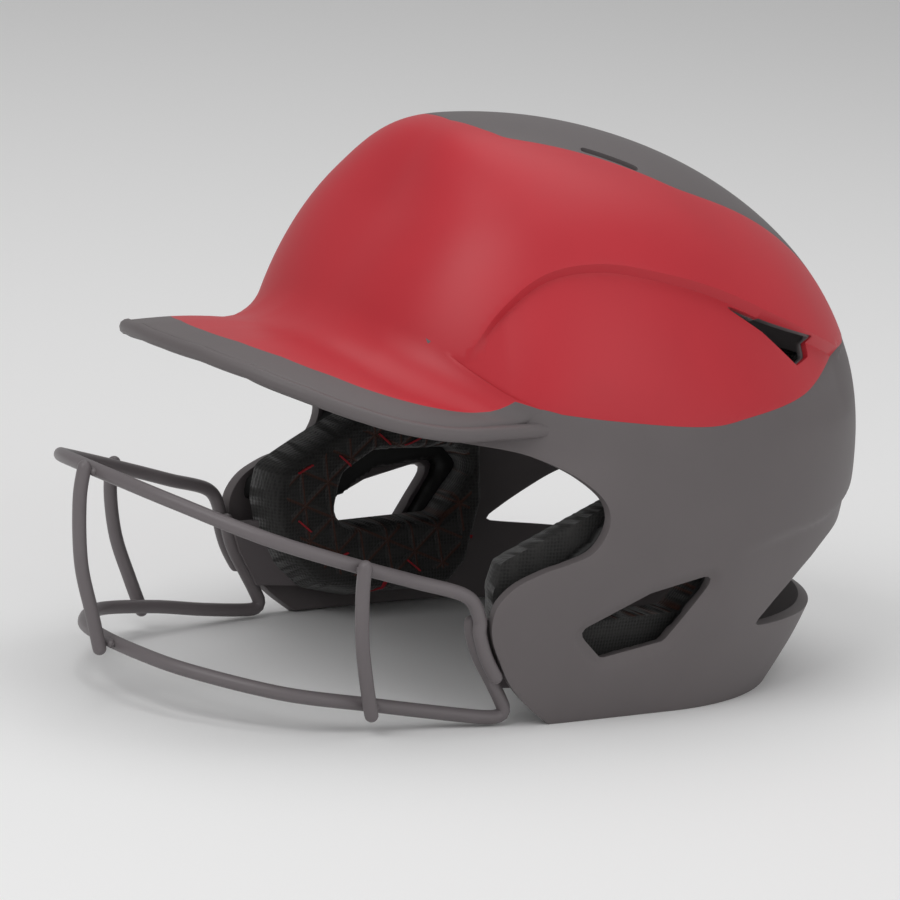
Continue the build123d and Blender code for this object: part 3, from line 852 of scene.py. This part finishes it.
legTop = [(guard["nearX"], y, z) for y, z in guard["leg"]]
legLow = [(guard["farX"], y, z) for y, z in guard["leg"]]
gauge, beadSize = (guard["wire"], guard["sides"]), (guard["beadLength"], guard["beadRadius"])
wires = {"guard_top_bar": [tube(mirroredPath(legTop[::-1] + guard["topRun"]), *gauge)],
         "guard_bottom_bar": [tube(mirroredPath(legLow + guard["lowBend"] + guard["lowRun"]), *gauge)],
         "guard_centre_upright": [tube(guard["centre"], *gauge),
                                  bead((0, -218.9, 91.5), (1, 0, 0), *beadSize, 1),
                                  bead((0, -206.2, 21.6), (1, 0, 0), *beadSize, 2)]}
for side, word in ((1, "left"), (-1, "right")):
    wires["guard_%s_upright" % word] = [
        tube([(side * x, y, z) for x, y, z in guard["side"]], *gauge),
        bead((side * 90.8, -150.0, 68.4), (side * 0.35, 0.94, -0.2), *beadSize, 3),
        bead((side * 83.0, -137.2, 11.4), (side * 0.3, 0.95, -0.15), *beadSize, 4)]
for node, parts in wires.items():
    points, faces = addParts(parts)
    wireObj = makeObject(node + "_wire", points, faces, guardCoat, mirrored=False)
    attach(wireObj, "root")
    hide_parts(node)
print("guard made")

# carried-over nodes
for name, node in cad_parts.items():
    finish = guardCoat if name.startswith("guard") or name.endswith("tab") else padMesh
    if "foam" in name or "screws" in name or "washers" in name:
        finish = baseFoam
    for slotItem in node.material_slots:
        slotItem.material = finish

# stage, light and camera
stageForm = dict(floorColour=(0.9, 0.9, 0.9), keyPower=17.0, fillPower=7.0, topPower=13.0, sky=0.42)
floorMesh = bpy.data.meshes.new("floor")
floorMesh.from_pydata([(-6, -6, 0), (6, -6, 0), (6, 6, 0), (-6, 6, 0)], [], [(0, 1, 2, 3)])
floor = bpy.data.objects.new("floor", floorMesh)
bpy.context.scene.collection.objects.link(floor)
paper, tree, shader = nodeSet("paleFloor")
shader.inputs["Base Color"].default_value = (*stageForm["floorColour"], 1)
shader.inputs["Roughness"].default_value = 0.9
floorMesh.materials.append(paper)

eye = dict(azimuth=55.5, elevation=14.92, distance=2063.0, focal=2.457, pitch=5.2, centreY=42.0, lift=-84.1,
           base=9.85)


def toRow(v):
    a = math.radians(eye["pitch"])
    y, z = v[1] - eye["centreY"], v[2] - eye["lift"]
    return Vector((v[0], y * math.cos(a) - z * math.sin(a) + shellY,
                   y * math.sin(a) + z * math.cos(a) + eye["base"])) * mm


th, el = math.radians(eye["azimuth"]), math.radians(eye["elevation"])
ahead = Vector((-math.sin(th) * math.cos(el), math.cos(th) * math.cos(el), -math.sin(el)))
right = Vector((math.cos(th), math.sin(th), 0))
up = right.cross(ahead)
origin = toRow((0, 0, 0))
axes = [(toRow(v) - origin).normalized() for v in (right, up, -ahead)]
camera = bpy.data.objects.new("camera", bpy.data.cameras.new("camera"))
bpy.context.scene.collection.objects.link(camera)
spot = toRow(-ahead * eye["distance"])
camera.matrix_world = Matrix.Translation(spot) @ Matrix((axes[0], axes[1], axes[2])).transposed().to_4x4()
camera.data.lens = eye["focal"] * eye["distance"] * 36 / 900
camera.data.sensor_width = 36
camera.data.clip_end = 50
bpy.context.scene.camera = camera


def softLight(name, place, power, size):
    lamp = bpy.data.lights.new(name, "AREA")
    lamp.energy, lamp.size = power, size
    obj = bpy.data.objects.new(name, lamp)
    bpy.context.scene.collection.objects.link(obj)
    obj.location = place
    obj.rotation_euler = (Vector((0, 0, 0.1)) - Vector(place)).to_track_quat("-Z", "Y").to_euler()


softLight("key", (0.5, -1.5, 1.7), stageForm["keyPower"], 1.4)
softLight("fill", (1.9, 0.4, 0.9), stageForm["fillPower"], 1.6)
softLight("top", (-0.3, 0.5, 2.1), stageForm["topPower"], 1.8)
world = bpy.data.worlds.new("studio")
bpy.context.scene.world = world
world.use_nodes = True
world.node_tree.nodes["Background"].inputs[0].default_value = (0.95, 0.95, 0.95, 1)
world.node_tree.nodes["Background"].inputs[1].default_value = stageForm["sky"]
bpy.context.scene.view_settings.view_transform = "Standard"

print("scene ready")
